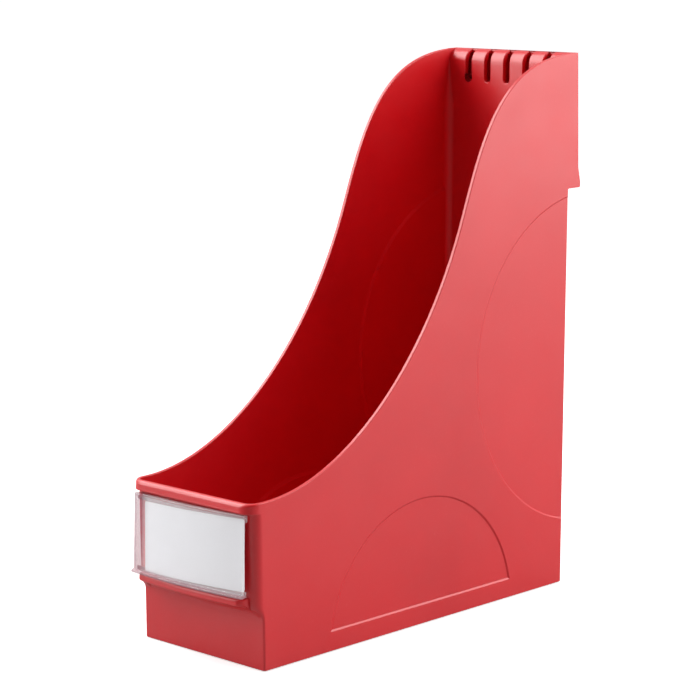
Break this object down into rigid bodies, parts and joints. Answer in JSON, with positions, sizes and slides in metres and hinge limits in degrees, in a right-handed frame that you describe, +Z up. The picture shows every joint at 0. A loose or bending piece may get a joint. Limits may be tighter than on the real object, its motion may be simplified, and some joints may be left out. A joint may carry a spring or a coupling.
{
  "type": "magazine file holder",
  "caption": "Open magazine file in moulded plastic: S-curved side walls, hooded finger pull with slots at the back, and a clear label window with a paper card on the low front.",
  "frame": {"origin": "centre of the bounding box in X and Y, at the height of the underside that stands on the shelf", "axes": "+Z up, -Y towards the low front with the label, +X to the right when facing the front from behind it"},
  "size_m": [0.097, 0.2827, 0.32],
  "materials": {
    "red_plastic": "fine satin moulded polystyrene",
    "clear_plastic": "clear gloss plastic",
    "white_paper": "matt paper card"
  },
  "bodies": {
    "holder": {"file_body": "red_plastic"},
    "window": {"label_window": "clear_plastic"},
    "card": {"label_card": "white_paper"}
  },
  "joints": [
    {"name": "window_unclip", "type": "slide", "parent": "holder", "child": "window", "axis": [0, -1, 0], "range_m": [0, 0.04]},
    {"name": "card_slide", "type": "hinge", "parent": "window", "child": "card", "pos_m": [0, 0.19296, 0.04788], "axis": [-0.0087, 0.0488, 0.9988], "range_deg": [0, 16]}
  ]
}
